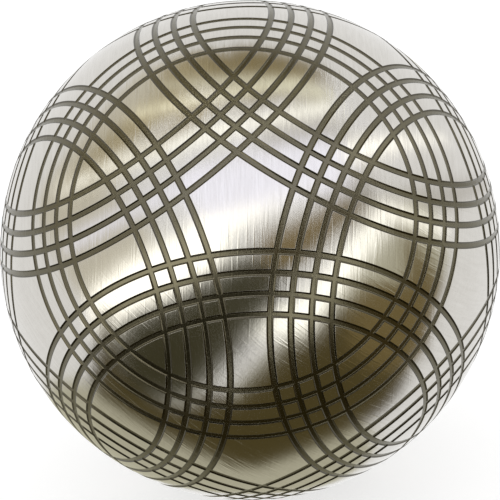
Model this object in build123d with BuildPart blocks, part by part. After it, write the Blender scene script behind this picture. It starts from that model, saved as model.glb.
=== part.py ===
from build123d import *

import os
from math import cos, degrees, radians, sin, sqrt, tan

# A competition petanque boule: a hollow ball of hardened steel, pressed as two half shells,
# welded together round the middle, turned to size and then grooved over the weld.
# Lengths are millimetres and angles degrees. The origin is the centre of the ball,
# and the weld lies in the plane z = 0.

# The ball
BALL_DIAMETER = 74.0
WALL_THICKNESS = 6.25

# The grooves: twelve bands of parallel rings, facing each other in pairs along six axes
GROOVE_WIDTH = 0.9
GROOVE_PITCH = 2.88  # from ring to ring, along the surface
GROOVES_PER_BAND = 4
BAND_ANGLE = 47.2  # from a band's axis to the middle of the band, seen from the centre

# The edges that are prepared for welding, and the weld's bead inside the ball
ROOT_GAP = 1.0  # between the two half shells
ROOT_FACE = 1.5  # the square part of each edge, next to the hollow
BEVEL_ANGLE = 30.0  # slope of the rest of each edge, from the plane of the weld
BEAD_WIDTH = 3.0
BEAD_HEIGHT = 0.5

ball_radius = BALL_DIAMETER / 2
hollow_radius = ball_radius - WALL_THICKNESS
standing_on_base = (Align.CENTER, Align.CENTER, Align.MIN)

# One band lies round each of the twelve corners of an icosahedron, which stand in pairs on six axes.
golden_ratio = (1 + sqrt(5)) / 2
band_axes = [
    (1, 0, golden_ratio),
    (-1, 0, golden_ratio),
    (0, golden_ratio, 1),
    (0, -golden_ratio, 1),
    (golden_ratio, 1, 0),
    (golden_ratio, -1, 0),
]

# Where the rings of a band lie, as angles from the band's axis, the widest ring first
pitch_angle = degrees(GROOVE_PITCH / ball_radius)
half_groove_angle = degrees(GROOVE_WIDTH / 2 / ball_radius)
half_band_angle = pitch_angle * (GROOVES_PER_BAND - 1) / 2
ring_angles = [BAND_ANGLE + half_band_angle - pitch_angle * ring for ring in range(GROOVES_PER_BAND)]

# The cutter rings of the two bands on one axis, here the Z axis. A square corner of each ring
# makes the groove: its flat floor cuts one wall and its bore the other, a groove's width apart.
cutter_reach = ball_radius + GROOVE_WIDTH / 2
with BuildPart() as groove_cutters:
    for ring_angle in ring_angles:
        floor_height = ball_radius * cos(radians(ring_angle + half_groove_angle))
        bore_radius = ball_radius * sin(radians(ring_angle - half_groove_angle))
        rim_radius = sqrt(cutter_reach**2 - floor_height**2)
        top_height = sqrt(cutter_reach**2 - bore_radius**2)
        with Locations((0, 0, floor_height)):
            Cylinder(rim_radius, top_height - floor_height, align=standing_on_base)
        Cylinder(bore_radius, cutter_reach, align=standing_on_base, mode=Mode.SUBTRACT)
    mirror(about=Plane.XY)


def cut_grooves():
    """Takes the grooves of all bands out of the part being built, one axis after another."""
    for axis in band_axes:
        with Locations(Plane(origin=(0, 0, 0), z_dir=axis)):
            add(groove_cutters.part, mode=Mode.SUBTRACT)


# The edge of a half shell, in section: square from the hollow outwards, then bevelled
edge_height = ROOT_GAP / 2
bevel_start = hollow_radius + ROOT_FACE
bevel_height = edge_height + (ball_radius - bevel_start) * tan(radians(BEVEL_ANGLE))

# The upper half shell: the ball's wall above the weld, with its edge prepared
with BuildPart() as upper_half_shell:
    with BuildSketch(Plane.XZ):
        with BuildLine():
            Polyline(
                (0, edge_height),
                (bevel_start, edge_height),
                (ball_radius, bevel_height),
                (ball_radius, ball_radius),
                (0, ball_radius),
                close=True,
            )
        make_face()
        Circle(ball_radius, mode=Mode.INTERSECT)
        Circle(hollow_radius, mode=Mode.SUBTRACT)
    revolve(axis=Axis.Z)
    cut_grooves()

# The lower half shell: the mirror image of the upper one, because the plane of the weld
# is also a plane of symmetry of the grooves
with BuildPart() as lower_half_shell:
    mirror(upper_half_shell.part, about=Plane.XY)

# The bead that stands inside the ball along the weld: a shallow arch on the hollow's wall
bead_foot = sqrt(hollow_radius**2 - (BEAD_WIDTH / 2) ** 2)
bead_crown = hollow_radius - BEAD_HEIGHT
with BuildSketch(Plane.XZ) as bead_section:
    with BuildLine():
        ThreePointArc((bead_foot, -BEAD_WIDTH / 2), (bead_crown, 0), (bead_foot, BEAD_WIDTH / 2))
        ThreePointArc((bead_foot, BEAD_WIDTH / 2), (hollow_radius, 0), (bead_foot, -BEAD_WIDTH / 2))
    make_face()

# The weld: a ring that fills the gap and the bevels, with its bead inside, turned flush outside
with BuildPart() as weld_seam:
    with BuildSketch(Plane.XZ):
        with BuildLine():
            Polyline(
                (bead_crown, -edge_height),
                (bevel_start, -edge_height),
                (ball_radius, -bevel_height),
                (ball_radius, bevel_height),
                (bevel_start, edge_height),
                (bead_crown, edge_height),
                close=True,
            )
        make_face()
        Circle(ball_radius, mode=Mode.INTERSECT)
        Circle(hollow_radius, mode=Mode.SUBTRACT)
        add(bead_section.sketch_local)
    revolve(axis=Axis.Z)
    cut_grooves()

os.makedirs("parts", exist_ok=True)
upper_half_shell.part.label = "upper_half_shell"
export_step(upper_half_shell.part, "parts/upper_half_shell.step")
lower_half_shell.part.label = "lower_half_shell"
export_step(lower_half_shell.part, "parts/lower_half_shell.step")
weld_seam.part.label = "weld_seam"
export_step(weld_seam.part, "parts/weld_seam.step")
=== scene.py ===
import bpy
import numpy as np
from mathutils import Matrix
from mathutils.geometry import delaunay_2d_cdt


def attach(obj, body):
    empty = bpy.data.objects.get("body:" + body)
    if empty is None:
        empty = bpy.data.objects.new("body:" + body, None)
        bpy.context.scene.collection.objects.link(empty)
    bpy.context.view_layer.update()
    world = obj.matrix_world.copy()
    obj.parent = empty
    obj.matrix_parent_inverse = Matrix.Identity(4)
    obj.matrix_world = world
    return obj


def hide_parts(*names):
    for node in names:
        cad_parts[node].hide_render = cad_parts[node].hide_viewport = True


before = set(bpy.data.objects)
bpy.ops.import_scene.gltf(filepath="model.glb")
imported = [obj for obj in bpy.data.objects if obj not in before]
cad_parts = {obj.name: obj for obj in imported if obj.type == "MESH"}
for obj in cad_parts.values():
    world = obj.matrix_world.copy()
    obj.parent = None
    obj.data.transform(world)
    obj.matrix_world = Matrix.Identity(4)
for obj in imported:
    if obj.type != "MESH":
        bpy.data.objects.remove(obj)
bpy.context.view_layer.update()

# Upper half shell: the upper half of the hollow ball, pressed from steel plate, its edge bevelled
# for the weld. Ring grooves are cut over the whole ball once it is welded and turned; the lands
# are then brushed to a satin finish, and the grooves keep the dark scale of the hardening.
ball_radius = 0.037  # metres, as all lengths here
hollow_radius = 0.03075
edge_height = 0.0005
bevel_start = 0.03225
bevel_rise = np.tan(np.radians(30.0))

# The bevel's line z = edge_height + bevel_rise * (rho - bevel_start) meets the ball at its toe.
bevel_drop = edge_height - bevel_rise * bevel_start
toe_root = np.sqrt((1 + bevel_rise**2) * ball_radius**2 - bevel_drop**2)
toe_radius = (toe_root - bevel_drop * bevel_rise) / (1 + bevel_rise**2)
toe_angle = np.arcsin(toe_radius / ball_radius)
toe_height = np.cos(toe_angle)  # as a share of the ball's radius

# Four rings lie in each band, and the bands stand in pairs on six axes.
golden = (1 + np.sqrt(5)) / 2
band_axes = np.array([
    (1, 0, golden), (-1, 0, golden), (0, golden, 1), (0, -golden, 1), (golden, 1, 0), (golden, -1, 0),
]) / np.sqrt(1 + golden**2)
band_angle = np.radians(47.2)
ring_pitch = 0.00288 / ball_radius
ring_angles = band_angle + ring_pitch * (np.arange(4) - 1.5)

# A groove has a flat floor between walls that curve out into worn, rounded lips. Lines of points
# follow it at these shares of its half width.
groove_half = 0.00051
groove_depth = 0.00016
floor_part = 0.4
line_shares = np.array([-1, -0.82, -0.58, -floor_part, floor_part, 0.58, 0.82, 1])


def ring_offsets(direction):
    """Distance of points from the middle of the nearest ring of each axis, along the surface: the
    angle between direction and axis, less the nearest ring's angle, times the ball's radius. The
    angle and the side of the ball that the ring lies on come with it."""
    cosine = direction @ band_axes.T
    angle = np.arccos(np.abs(cosine).clip(0, 1))
    nearest = np.abs(angle[..., None] - ring_angles).argmin(-1)
    return ball_radius * (angle - ring_angles[nearest]), angle, np.sign(cosine)


def groove_form(direction):
    """Share of the way from lip to middle of a groove under each direction, the groove's depth, and
    the normal of the cut surface. Depth is half the groove's full depth times 1 + cos(pi * w),
    with w the share of the way from the floor's edge up to the lip, 0 on the floor; where rings
    cross, the deepest counts. The normal is the direction plus the slope of the depth, made unit
    length."""
    offset, angle, side = ring_offsets(direction)
    share = np.minimum(np.abs(offset) / groove_half, 1)
    ring = share.argmin(1)
    pick = (np.arange(len(direction)), ring)
    share, offset, angle, side = share[pick], offset[pick], angle[pick], side[pick]
    wall = ((share - floor_part) / (1 - floor_part)).clip(0, 1)
    depth = groove_depth * (1 + np.cos(np.pi * wall)) / 2
    steepness = groove_depth * np.pi * np.sin(np.pi * wall) / 2 / groove_half / (1 - floor_part)
    slope = -np.sign(offset) * steepness
    away = np.cos(angle)[:, None] * direction - side[:, None] * band_axes[ring]
    normal = direction + (slope / np.sin(angle))[:, None] * away
    return 1 - share, depth, normal / np.linalg.norm(normal, axis=1, keepdims=True)


parallel = 0.999  # cosine from which two axes count as one
touching = 1e-7  # what must be left of the unit length where circles really cross


def circle_crossings(axis_a, angle_a, axis_b, angle_b):
    """Points where circles round axis a cross circles round axis b on the unit sphere: the part in
    the plane of both axes follows from the two cosines, and what is left of the unit length lies
    along their cross product, to either side."""
    between = (axis_a * axis_b).sum(-1)
    cos_a, cos_b = np.cos(angle_a), np.cos(angle_b)
    square = np.maximum(1 - between**2, touching)
    part_a = (cos_a - between * cos_b) / square
    part_b = (cos_b - between * cos_a) / square
    left = 1 - part_a * cos_a - part_b * cos_b
    meets = (left > touching) & (np.abs(between) < parallel)
    middle = part_a[meets, None] * axis_a[meets] + part_b[meets, None] * axis_b[meets]
    reach = np.sqrt(left[meets] / square[meets])[:, None] * np.cross(axis_a[meets], axis_b[meets])
    return np.concatenate([middle + reach, middle - reach])


def square_to(axis):
    """A direction square to each axis: its cross product with the same three numbers moved round by
    one place and shifted a little, which never lies along the axis."""
    return np.cross(axis, np.roll(axis, 1, axis=-1) + 0.1)


# Every line along a groove is a circle round one end of an axis.
poles = np.concatenate([band_axes, -band_axes])
line_turns = (ring_angles[:, None] + line_shares * groove_half / ball_radius).ravel()
line_axis = np.repeat(poles, len(line_turns), axis=0)
line_angle = np.tile(line_turns, len(poles))
station = 0.0008
crossing_clearance = 0.00028
land_spacing = 0.0011
land_clearance = 0.0004


def groove_points():
    """Points that carry the grooves and the lands: all crossings of the lines along the grooves,
    stations between the crossings along those lines, and a spiral of points over the lands."""
    first, second = np.triu_indices(len(line_axis), 1)
    crossings = circle_crossings(
        line_axis[first], line_angle[first], line_axis[second], line_angle[second]
    )

    count = round(2 * np.pi * ball_radius * np.sin(band_angle) / station)
    turn = np.linspace(0, 2 * np.pi, count, False)
    across = square_to(poles)
    across /= np.linalg.norm(across, axis=1, keepdims=True)
    beyond = np.cross(poles, across)
    outward = np.cos(turn)[:, None] * across[:, None] + np.sin(turn)[:, None] * beyond[:, None]
    up_axis = np.cos(line_turns)[:, None, None] * poles[:, None, None]
    stations = (up_axis + np.sin(line_turns)[:, None, None] * outward[:, None]).reshape(-1, 3)
    second_ring = np.sort(np.abs(ring_offsets(stations)[0]), axis=1)[:, 1]
    stations = stations[second_ring > groove_half + crossing_clearance]

    count = int(4 * np.pi * ball_radius**2 / land_spacing**2)
    step = np.arange(count) + 0.5
    height = 1 - 2 * step / count
    winding = step * np.pi * (3 - np.sqrt(5))
    flat = np.sqrt(1 - height**2)
    spiral = np.stack([flat * np.cos(winding), flat * np.sin(winding), height], axis=1)
    spiral = spiral[np.abs(ring_offsets(spiral)[0]).min(1) > groove_half + land_clearance]
    return np.concatenate([crossings, stations, spiral])


toe_stations = 240
toe_station_clearance = 0.008  # radians from the nearest groove line
turn_decimals = 7


def toe_points():
    """Points along the toe of the upper bevel, where shell and weld meet on the surface: where the
    groove lines cross it, and stations about 1 mm apart in the stretches between."""
    up = np.broadcast_to([0.0, 0.0, 1.0], line_axis.shape)
    met = circle_crossings(up, np.full(len(line_angle), toe_angle), line_axis, line_angle)
    turn = np.arctan2(met[:, 1], met[:, 0])
    steady = np.linspace(-np.pi, np.pi, toe_stations, False)
    apart = np.abs(np.exp(1j * steady)[:, None] - np.exp(1j * turn)).min(1)
    turn = np.concatenate([turn, steady[apart > toe_station_clearance]])
    turn = np.unique(np.round(turn, turn_decimals))
    flat = np.sin(toe_angle) * np.stack([np.cos(turn), np.sin(turn)], axis=1)
    return np.concatenate([flat, np.full((len(turn), 1), toe_height)], axis=1)


line_width = 5e-7  # how far a point's cosine may lie from that of its line
edge_reach = 0.0016 / ball_radius
net_width = 1e-7  # points nearer than this count as one


def line_edges(direction):
    """Pairs of neighbouring points along the groove lines and the toes: the points of each circle
    have one cosine to its axis, and are put in order of their angle round it."""
    pairs = []
    circles = [*zip(line_axis, line_angle), ((0, 0, 1), toe_angle), ((0, 0, 1), np.pi - toe_angle)]
    for axis, angle in circles:
        on_line = np.flatnonzero(np.abs(direction @ np.array(axis) - np.cos(angle)) < line_width)
        across = square_to(axis)
        beyond = np.cross(axis, across)
        turn = np.arctan2(direction[on_line] @ beyond, direction[on_line] @ across)
        order = np.argsort(turn)
        ends = np.stack([on_line[order], np.roll(on_line[order], -1)], axis=1)
        length = np.linalg.norm(direction[ends[:, 0]] - direction[ends[:, 1]], axis=1)
        pairs.append(ends[length < edge_reach])
    return np.concatenate(pairs)


def net(direction):
    """Triangles between points of the ball: the points are projected from the lowest point of the
    ball on to a plane, (x, y) / (1 + z), joined there by the Delaunay rule with the groove lines as
    edges, and projected back."""
    plane = (direction[:, :2] / (1 + direction[:, 2:])).tolist()
    edges = line_edges(direction).tolist()
    flat, _, faces, *_ = delaunay_2d_cdt(plane, edges, [], 0, net_width, False)
    flat = np.array(flat, float)
    square = (flat**2).sum(1, keepdims=True)
    return np.concatenate([2 * flat, 1 - square], axis=1) / (1 + square), np.array(faces)


edge_width = 2e-6  # how far a point's height may lie from that of its edge


def round_edge(direction, height):
    """Indices of the points on the circle at that share of the ball's height, in turning order."""
    on_edge = np.flatnonzero(np.abs(direction[:, 2] - height) < edge_width)
    return on_edge[np.argsort(np.arctan2(direction[on_edge, 1], direction[on_edge, 0]))]


def hidden_side(turn, profile):
    """The hidden side of a piece, a profile of (radius, height) points carried round the ball's axis:
    one row of points per profile point, one column per angle in turn."""
    rows = profile[:, :1] * np.stack([np.cos(turn), np.sin(turn)])[:, None]
    height = np.broadcast_to(profile[:, 1:], rows[0].shape)
    return np.stack([rows[0], rows[1], height], axis=2).reshape(-1, 3)


def row_strips(rows):
    """Two triangles for each step round the ball between neighbouring rows of point indices."""
    low, high = rows[:-1], rows[1:]
    low_next, high_next = np.roll(low, -1, axis=1), np.roll(high, -1, axis=1)
    halves = [
        np.stack([low_next, low, high], axis=2),
        np.stack([low_next, high, high_next], axis=2),
    ]
    return np.concatenate(halves).reshape(-1, 3)


normal_inset = 0.02
no_area = 1e-20


def grooved_piece(name, direction, skin_faces, hidden_places, hidden_faces, flat_map, flip):
    """A piece of the ball from its grooved skin and its hidden side; flip is -1 to make the mirror
    image under the plane of the weld. Each corner of a skin face takes the exact normal a little way
    inside that face, so lips stay crisp; hidden faces are flat. flat_map gives each corner's place on
    the map through which the finish is baked."""
    share, depth, _ = groove_form(direction)
    places = np.concatenate([direction * (ball_radius - depth)[:, None], hidden_places])
    corner = direction[skin_faces]
    corner = (1 - normal_inset) * corner + normal_inset * corner.mean(axis=1, keepdims=True)
    corner /= np.linalg.norm(corner, axis=2, keepdims=True)
    skin_normal = groove_form(corner.reshape(-1, 3))[2].reshape(corner.shape)
    corner = places[hidden_faces]
    flat = np.cross(corner[:, 1] - corner[:, 0], corner[:, 2] - corner[:, 0])
    flat /= np.maximum(np.linalg.norm(flat, axis=1, keepdims=True), no_area)
    normals = np.concatenate([skin_normal, np.repeat(flat[:, None], 3, axis=1)])
    faces = np.concatenate([skin_faces, hidden_faces])
    if flip < 0:
        faces, normals, flat_map = faces[:, ::-1], normals[:, ::-1], flat_map[:, ::-1]
    mesh = bpy.data.meshes.new(name)
    mesh.from_pydata(places * [1, 1, flip], [], faces)
    mesh.shade_smooth()
    mesh.normals_split_custom_set((normals * [1, 1, flip]).reshape(-1, 3).tolist())
    bake_map = mesh.uv_layers.new(name="OFBake")
    bake_map.uv.foreach_set("vector", flat_map.astype(np.float32).ravel())
    scale = np.zeros(len(places), np.float32)
    scale[: len(share)] = share
    mesh.attributes.new("groove_share", "FLOAT", "POINT").data.foreach_set("value", scale)
    piece = bpy.data.objects.new(name, mesh)
    bpy.context.scene.collection.objects.link(piece)
    return piece


# The skin is a cap down to the toe. From there the hidden side runs over the bevel to the root face
# and up the hollow to the top of its dome.
surface_points = groove_points()
toe = toe_points()
toe_clearance = 0.00012 / ball_radius
cap_points = surface_points[surface_points[:, 2] > toe_height + toe_clearance]
cap, cap_faces = net(np.concatenate([toe, cap_points]))
cap_edge = round_edge(cap, toe_height)
edge_turn = np.arctan2(cap[cap_edge, 1], cap[cap_edge, 0])
dome_rows = 12
dome_tilt = np.linspace(np.arcsin(edge_height / hollow_radius), np.pi / 2, dome_rows, False)
dome = hollow_radius * np.stack([np.cos(dome_tilt), np.sin(dome_tilt)], axis=1)
shell_profile = np.concatenate([[(bevel_start, edge_height)], dome])
shell_size = (len(shell_profile), len(edge_turn))
shell_rows = len(cap) + np.arange(np.prod(shell_size)).reshape(shell_size)
dome_top = np.full(len(edge_turn), shell_rows.max() + 1)
shell_hidden = np.concatenate([hidden_side(edge_turn, shell_profile), [(0, 0, hollow_radius)]])
dome_fan = np.stack([np.roll(shell_rows[-1], -1), shell_rows[-1], dome_top], axis=1)
shell_strips = row_strips(np.concatenate([cap_edge[None], shell_rows]))
shell_inner = np.concatenate([shell_strips, dome_fan])

# The skin's flat map is a disc that keeps areas alike, (x, y) over the root of 1 + z. The hidden side
# is a small disc in the corner of the map, from the toe at its rim to the top of the dome.
skin_disc_middle, skin_disc_radius = 0.455, 0.448
hidden_disc_middle, hidden_disc_radius = 0.945, 0.045
cap_corner = cap[cap_faces]
skin_disc = cap_corner[..., :2] / np.sqrt(1 + cap_corner[..., 2:])
rim = np.stack([np.cos(edge_turn), np.sin(edge_turn)], axis=1)
row_radius = np.linspace(1, 0, len(shell_profile) + 2)[1:-1]
hidden_disc = np.zeros((len(cap) + len(shell_hidden), 2))
hidden_disc[cap_edge] = rim
hidden_disc[shell_rows] = row_radius[:, None, None] * rim
shell_map = np.concatenate([
    skin_disc_middle + skin_disc_radius * skin_disc,
    hidden_disc_middle + hidden_disc_radius * hidden_disc[shell_inner],
])
upper_shell = grooved_piece(
    "upper_shell", cap, cap_faces, shell_hidden, shell_inner, shell_map, 1
)

# The finish: brush marks stand upright on the upper part of the ball and slant more and more between
# these two heights, from the least to the most share.
slant_heights = (0.014, 0.002)
slant_shares = (0.22, 0.85)
right_share = 0.3  # of the slanting marks, those that lean to the right
brush_range = (0.32, 0.68)  # of the noise that draws the marks
scratch_range = (0.55, 0.66)  # only its peaks draw the sparse, deeper scratches
brush_depth = 0.000016
scratch_depth = 0.000011
mark_strength = 0.8
land_dark = (0.595, 0.575, 0.535, 1)
land_light = (0.665, 0.645, 0.605, 1)
land_roughness = (0.16, 0.115)
# The floor's colour is the dark scale of the hardening; the walls' colour is that scale painted darker,
# a painted shade on the steep groove walls.
wall_scale_painted_shade = (0.06, 0.053, 0.036, 1)
floor_scale = (0.138, 0.126, 0.087, 1)
scale_roughness = 0.22
lip_range = (0.0, 0.1)  # shares of the way into a groove over which land turns to scale
wall_shade_range = (0.25, 0.58)  # and the walls' painted shade, a darker scale, to the floor's scale


def brushed_steel(name):
    """Satin steel: brush marks in three directions, mixed by height, vary the colour, the roughness
    and the normal of the lands, and sparse scratches dent them; the share of the way into a groove
    turns the land to dark scale, painted darker on the walls than on the floor as painted shade."""
    finish = bpy.data.materials.new(name)
    finish.use_nodes = True
    tree = finish.node_tree
    steel = tree.nodes["Principled BSDF"]
    steel.inputs["Metallic"].default_value = 1.0

    def node(kind, **settings):
        """A new node with these settings."""
        made = tree.nodes.new(kind)
        for key, value in settings.items():
            setattr(made, key, value)
        return made

    def link(source, target):
        """Joins an output to an input."""
        tree.links.new(source, target)

    def spread(source, source_range, to_range=(0.0, 1.0)):
        """A value moved in proportion from one range to another, and held at its ends."""
        made = node("ShaderNodeMapRange")
        sockets = ("From Min", "From Max", "To Min", "To Max")
        for key, value in zip(sockets, (*source_range, *to_range)):
            made.inputs[key].default_value = value
        link(source, made.inputs["Value"])
        return made.outputs["Result"]

    def blend(share, first, second, kind="FLOAT"):
        """First times 1 - share, plus second times share; each may be an output or a plain value."""
        made = node("ShaderNodeMix", data_type=kind)
        sockets = [s for s in made.inputs if s.enabled]
        for source, target in zip((share, first, second), sockets):
            if hasattr(source, "is_output"):
                link(source, target)
            else:
                target.default_value = source
        return [s for s in made.outputs if s.enabled][0]

    place = node("ShaderNodeTexCoord")

    def strokes(tilt, width, length, shift):
        """Noise drawn out into strokes of that width and length, leaning by tilt radians from
        upright; a shift gives other strokes of the same kind."""
        mapping = node("ShaderNodeMapping", vector_type="TEXTURE")
        mapping.inputs["Rotation"].default_value = (0.0, tilt, 0.0)
        mapping.inputs["Scale"].default_value = (width, length, length)
        mapping.inputs["Location"].default_value = (shift, shift, shift)
        link(place.outputs["Object"], mapping.inputs["Vector"])
        noise = node("ShaderNodeTexNoise")
        noise.inputs["Scale"].default_value = 1.0
        noise.inputs["Detail"].default_value = 2.0
        noise.inputs["Roughness"].default_value = 0.55
        link(mapping.outputs["Vector"], noise.inputs["Vector"])
        return noise.outputs["Fac"]

    def dent(height, distance):
        """A bump of that height and distance, for the brush marks or the scratches."""
        made = node("ShaderNodeBump")
        made.inputs["Strength"].default_value = mark_strength
        made.inputs["Distance"].default_value = distance
        link(height, made.inputs["Height"])
        return made

    height = node("ShaderNodeSeparateXYZ")
    link(place.outputs["Object"], height.inputs["Vector"])
    slant = spread(height.outputs["Z"], slant_heights, slant_shares)
    upright_strokes = strokes(tilt=0.05, width=0.00033, length=0.004, shift=0.0)
    left_strokes = strokes(tilt=-0.75, width=0.00034, length=0.0042, shift=0.01)
    right_strokes = strokes(tilt=0.65, width=0.00032, length=0.0036, shift=0.02)
    brush = blend(slant, upright_strokes, blend(right_share, left_strokes, right_strokes))
    steep_noise = strokes(tilt=0.1, width=0.0005, length=0.009, shift=0.03)
    slant_noise = strokes(tilt=-0.8, width=0.00045, length=0.007, shift=0.04)
    scratch = blend(slant, spread(steep_noise, scratch_range), spread(slant_noise, scratch_range))

    land_colour = node("ShaderNodeValToRGB")
    ramp = land_colour.color_ramp.elements
    ramp[0].position, ramp[1].position = brush_range
    ramp[0].color, ramp[1].color = land_dark, land_light
    link(brush, land_colour.inputs["Fac"])

    groove = node("ShaderNodeAttribute", attribute_name="groove_share")
    cut = spread(groove.outputs["Fac"], lip_range)
    # Painted shade: the groove walls take a darker scale colour than the floor.
    scale_with_wall_shade = blend(spread(groove.outputs["Fac"], wall_shade_range), wall_scale_painted_shade, floor_scale, "RGBA")
    colour = blend(cut, land_colour.outputs["Color"], scale_with_wall_shade, "RGBA")
    link(colour, steel.inputs["Base Color"])
    roughness = blend(cut, spread(brush, brush_range, land_roughness), scale_roughness)
    link(roughness, steel.inputs["Roughness"])

    brush_dent = dent(brush, brush_depth)
    scratch_dent = dent(scratch, scratch_depth)
    link(brush_dent.outputs["Normal"], scratch_dent.inputs["Normal"])
    link(scratch_dent.outputs["Normal"], steel.inputs["Normal"])
    return finish


shell_steel = brushed_steel("shell_steel_brushed")
upper_shell.data.materials.append(shell_steel)
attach(upper_shell, "root")
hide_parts("upper_half_shell")

# Lower half shell: the same pressing the other way up, welded to the first one, grooved and brushed
# with it. It is the mirror image of the upper one, because the weld's plane mirrors the grooves.
lower_shell = grooved_piece(
    "lower_shell", cap, cap_faces, shell_hidden, shell_inner, shell_map, -1
)
lower_shell.data.materials.append(shell_steel)
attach(lower_shell, "root")
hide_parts("lower_half_shell")

# Weld seam: the ring of weld metal that fills the bevels of the half shells, with a low bead inside
# the ball. Outside it is turned flush, then grooved and brushed as one surface with the shells.
bead_half = 0.0015
bead_height = 0.0005
bead_crown = hollow_radius - bead_height
bead_wall_rows = 4
bead_arch_rows = 9

band_points = surface_points[np.abs(surface_points[:, 2]) < toe_height - toe_clearance]
band, band_faces = net(np.concatenate([toe, toe * [1, 1, -1], band_points]))
upper_edge, lower_edge = round_edge(band, toe_height), round_edge(band, -toe_height)
band_faces = band_faces[~np.isin(band_faces, upper_edge).all(axis=1)]
wall_tilt = np.arcsin(np.linspace(edge_height, bead_half, bead_wall_rows) / hollow_radius)
bead_wall = hollow_radius * np.stack([np.cos(wall_tilt), np.sin(wall_tilt)], axis=1)
bead_step = np.linspace(-1, 1, bead_arch_rows)[1:-1]
bead_foot = bead_wall[-1, 0]
arch_radius = bead_crown + (bead_foot - bead_crown) * bead_step**2
bead_arch = np.stack([arch_radius, bead_half * bead_step], axis=1)
upper_flank = np.concatenate([bead_wall[::-1], [(bevel_start, edge_height)]])
weld_profile = np.concatenate([upper_flank[::-1] * [1, -1], bead_arch, upper_flank])
weld_turn = np.arctan2(band[lower_edge, 1], band[lower_edge, 0])
weld_hidden = hidden_side(weld_turn, weld_profile)
weld_rows = len(band) + np.arange(len(weld_hidden)).reshape(len(weld_profile), -1)
weld_inner = row_strips(np.concatenate([lower_edge[None], weld_rows, upper_edge[None]]))

# The weld's flat map has three rows for the skin, a third of the way round in each, and one for the
# hidden side.
skin_strips = 3
map_rows = 4
row_margin = 0.05
end_margin = 0.03


def unrolled(places, across, faces, strips, first_row):
    """Flat map of a ring unrolled into strips that lie in rows: each face's turn round the ball picks
    its strip, the turn within the strip goes along the row, and across, from 0 to 1, goes over the
    row's height."""
    corner = places[faces]
    round_ball = np.exp(1j * np.arctan2(corner[..., 1], corner[..., 0]))
    middle = round_ball.mean(axis=1, keepdims=True)
    turn = np.angle(middle) / 2 / np.pi + 0.5
    strip = np.minimum(np.floor(turn * strips), strips - 1)
    along = (turn + np.angle(round_ball / middle) / 2 / np.pi) * strips - strip
    height = first_row + strip + row_margin + (1 - 2 * row_margin) * across[faces]
    return np.stack([end_margin + (1 - 2 * end_margin) * along, height / map_rows], axis=2)


skin_across = (band[:, 2] / toe_height + 1) / 2
hidden_across = np.zeros(len(band) + len(weld_hidden))
hidden_across[upper_edge] = 1
hidden_across[weld_rows] = np.linspace(0, 1, len(weld_profile) + 2)[1:-1, None]
weld_places = np.concatenate([band, weld_hidden])
weld_map = np.concatenate([
    unrolled(band, skin_across, band_faces, skin_strips, 0),
    unrolled(weld_places, hidden_across, weld_inner, 1, skin_strips),
])
weld = grooved_piece("weld", band, band_faces, weld_hidden, weld_inner, weld_map, 1)
weld.data.materials.append(brushed_steel("weld_steel_brushed"))
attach(weld, "root")
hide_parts("weld_seam")

# Camera: at the photograph's angle, as far off as its perspective asks, the ball filling the frame.
camera_turn, camera_lift, camera_roll = np.radians([1.65, 22.5, 4.35])
camera_distance = 11.12 * ball_radius
level = np.array([np.cos(camera_turn), np.sin(camera_turn), 0])
ahead = np.array([np.sin(camera_turn), -np.cos(camera_turn), 0])
toward = np.cos(camera_lift) * ahead + np.sin(camera_lift) * np.array([0, 0, 1])
plumb = np.cross(toward, level)
right = np.cos(camera_roll) * level - np.sin(camera_roll) * plumb
upright = np.sin(camera_roll) * level + np.cos(camera_roll) * plumb
camera_data = bpy.data.cameras.new("camera")
camera_data.sensor_width = 36.0
camera_data.lens = 199.4
camera = bpy.data.objects.new("camera", camera_data)
stance = np.eye(4)
stance[:3] = np.stack([right, upright, toward, toward * camera_distance], axis=1)
camera.matrix_world = Matrix(stance.tolist())
bpy.context.scene.collection.objects.link(camera)
bpy.context.scene.camera = camera

# Floor: a plain white board under the ball, which keeps the ball's soft shadow. Its own glow, seen by
# the camera only, makes up what its grey paint lacks to white.
board_half = 3.0
board_grey = 0.45
board_glow = 0.68
board_mesh = bpy.data.meshes.new("floor")
board_corner = board_half * np.array([(-1, -1, 0), (1, -1, 0), (1, 1, 0), (-1, 1, 0)])
board_mesh.from_pydata(board_corner - [0, 0, ball_radius], [], [(0, 1, 2, 3)])
board = bpy.data.objects.new("floor", board_mesh)
bpy.context.scene.collection.objects.link(board)
board_paint = bpy.data.materials.new("floor_white")
board_paint.use_nodes = True
board_tree = board_paint.node_tree
paint = board_tree.nodes["Principled BSDF"]
paint.inputs["Base Color"].default_value = (board_grey, board_grey, board_grey, 1)
paint.inputs["Roughness"].default_value = 0.9
paint.inputs["Specular IOR Level"].default_value = 0.0
paint.inputs["Emission Color"].default_value = (1, 1, 1, 1)
board_ray = board_tree.nodes.new("ShaderNodeLightPath")
glow_share = board_tree.nodes.new("ShaderNodeMath")
glow_share.operation = "MULTIPLY"
glow_share.inputs[1].default_value = board_glow
board_tree.links.new(board_ray.outputs["Is Camera Ray"], glow_share.inputs[0])
board_tree.links.new(glow_share.outputs["Value"], paint.inputs["Emission Strength"])
board.visible_glossy = False
board_mesh.materials.append(board_paint)

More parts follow.
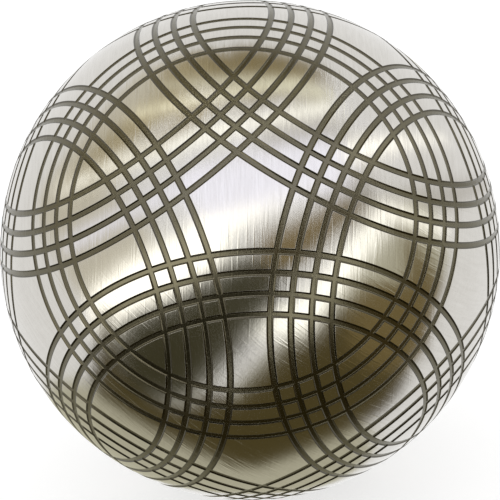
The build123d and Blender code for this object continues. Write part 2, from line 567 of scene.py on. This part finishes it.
# Studio: an even white surround, and the lights and dark cards that the bright steel mirrors. A card
# follows a path of points, each in degrees to the right of and above the camera as the ball sees it.
# Its widths along the path, in degrees, and the light that it sends out come after the path.
cards = [
    ("beige_side", [(-49, 80), (-91, 23), (-70, 2)], (29, 53), (0.73, 0.69, 0.57)),
    ("cream_side", [(16, 67), (53, 14), (151, 42)], (43, 4), (0.69, 0.67, 0.64)),
    ("brown_top", [(-23, 92), (4, 82), (-2, 92), (24, 83)], (22, 28), (0.28, 0.22, 0.1)),
    (
        "upper_light",
        [(-88, 3), (-6, 39), (2, 60), (35, 82), (73, 41)],
        (7, -8),
        (1.27, 1.28, 1.47),
    ),
    ("cross_light", [(-95, 32), (-8, 56), (37, 68)], (7, 5), (1.84, 1.84, 1.71)),
    (
        "strip_light",
        [(-57, -30), (-50, -21), (-22, -2), (-16, 12), (52, 47), (106, 61)],
        (40, -3),
        (2.4, 2.37, 2.2),
    ),
    (
        "dark_floor",
        [(81, 12), (80, -1), (17, -82), (33, -115), (20, -116), (-89, -118)],
        (23, 69, 98),
        (0.57, 0.55, 0.42),
    ),
    (
        "dark_corner",
        [(-68, -31), (-69, -67), (-1, -93), (47, -58)],
        (6, 68),
        (0.09, 0.07, 0.025),
    ),
    (
        "lower_light",
        [(97, 10), (64, 18), (23, -31), (-4, -30), (-4, -14), (-35, -59)],
        (2, 26),
        (2.2, 2.19, 2.03),
    ),
    (
        "dark_strip",
        [(55, 27), (15, -5), (8, -8), (3, -13), (-22, -36), (-40, -49)],
        (-2, 25, 51),
        (0.055, 0.05, 0.025),
    ),
    ("brown_strip", [(54, 24), (46, 19), (14, 1)], (-4, 17), (0.23, 0.16, 0.05)),
    ("cool_light", [(-21, 28), (-17, 25), (33, 39)], (20, 26), (1.33, 1.34, 1.52)),
    ("brown_left", [(-94, 33), (-39, 73), (-33, 87)], (3, 25), (0.46, 0.39, 0.23)),
    ("top_light", [(-23, 71), (-53, 66), (24, 81)], (4, 1), (1.79, 1.73, 1.32)),
    ("right_dark", [(69, 17), (85, -18), (71, -33)], (-6, 52), (0.2, 0.15, 0.06)),
    ("brown_streak", [(-83, 30), (-47, 46), (-25, 64)], (-7, 6), (0.45, 0.35, 0.16)),
    ("brown_fold", [(-77, 38), (-49, 63), (-11, 68)], (1, 0), (0.49, 0.4, 0.21)),
    ("cream_fold", [(-41, 81), (-4, 82), (34, 76)], (-1, 8), (1.06, 1.04, 0.83)),
]
card_distance = 3.0
card_step = 0.02
card_softness = 2.1
least_cover = 0.01
least_angle = 1e-6
chart_cell = 1.5
chart_reach = 150


def card_glow(name, colour):
    """The card's finish: its light, mixed with clear by how fully the card covers each point."""
    finish = bpy.data.materials.new(name)
    finish.use_nodes = True
    tree = finish.node_tree
    tree.nodes.clear()
    light = tree.nodes.new("ShaderNodeEmission")
    light.inputs["Color"].default_value = (*(np.array(colour) / max(colour)), 1)
    light.inputs["Strength"].default_value = max(colour)
    clear = tree.nodes.new("ShaderNodeBsdfTransparent")
    share = tree.nodes.new("ShaderNodeAttribute")
    share.attribute_name = "cover"
    edge = tree.nodes.new("ShaderNodeMixShader")
    surface = tree.nodes.new("ShaderNodeOutputMaterial")
    tree.links.new(share.outputs["Fac"], edge.inputs[0])
    tree.links.new(clear.outputs["BSDF"], edge.inputs[1])
    tree.links.new(light.outputs["Emission"], edge.inputs[2])
    tree.links.new(edge.outputs["Shader"], surface.inputs["Surface"])
    return finish


def make_card(layer, name, path, width, colour):
    """One card: on an even chart of (right, up) angles, the distance of each point from the nearest
    stretch of the path is set against half the card's width there, and a smooth step of the
    difference gives how fully the card covers that point, from its middle to its soft edge. Each angle
    is turned into a direction from the ball, and each further card stands a step nearer to the ball."""
    path = np.array(path, float)
    lines = np.arange(-chart_reach, chart_reach + chart_cell, chart_cell)
    chart = np.stack(np.meshgrid(lines, lines, indexing="ij"), axis=2).reshape(-1, 2)
    stretch = np.diff(path, axis=0)
    from_start = chart[:, None] - path[:-1]
    passed = ((from_start * stretch).sum(2) / (stretch**2).sum(1)).clip(0, 1)
    gap = np.linalg.norm(from_start - passed[..., None] * stretch, axis=2)
    nearest = gap.argmin(1)
    every = np.arange(len(chart))
    along = (nearest + passed[every, nearest]) / len(stretch)
    half_width = np.interp(along, np.linspace(0, 1, len(width)), width) / 2
    cover = 1 / (1 + np.exp((gap[every, nearest] - half_width) / card_softness))
    index = every.reshape(len(lines), -1)
    corners = [index[:-1, :-1], index[1:, :-1], index[1:, 1:], index[:-1, 1:]]
    cells = np.stack(corners, axis=2).reshape(-1, 4)
    cells = cells[(cover[cells] > least_cover).any(axis=1)]
    used, cells = np.unique(cells, return_inverse=True)
    angle = np.radians(chart[used])
    off = np.maximum(np.linalg.norm(angle, axis=1, keepdims=True), least_angle)
    sideways = angle[:, :1] * right + angle[:, 1:] * upright
    look = np.sin(off) / off * sideways + np.cos(off) * toward
    mesh = bpy.data.meshes.new(name)
    mesh.from_pydata(look * (card_distance - card_step * layer), [], cells.reshape(-1, 4))
    cover_values = mesh.attributes.new("cover", "FLOAT", "POINT").data
    cover_values.foreach_set("value", cover[used].astype(np.float32))
    mesh.materials.append(card_glow(name, colour))
    made = bpy.data.objects.new(name, mesh)
    bpy.context.scene.collection.objects.link(made)
    made.visible_camera = False
    made.visible_diffuse = False
    made.visible_shadow = False


for card_layer, card in enumerate(cards):
    make_card(card_layer, *card)

world = bpy.data.worlds.new("surround")
world.use_nodes = True
world.node_tree.nodes["Background"].inputs["Color"].default_value = (1, 1, 1, 1)
world.node_tree.nodes["Background"].inputs["Strength"].default_value = 1.0
bpy.context.scene.world = world
bpy.context.scene.view_settings.view_transform = "Standard"
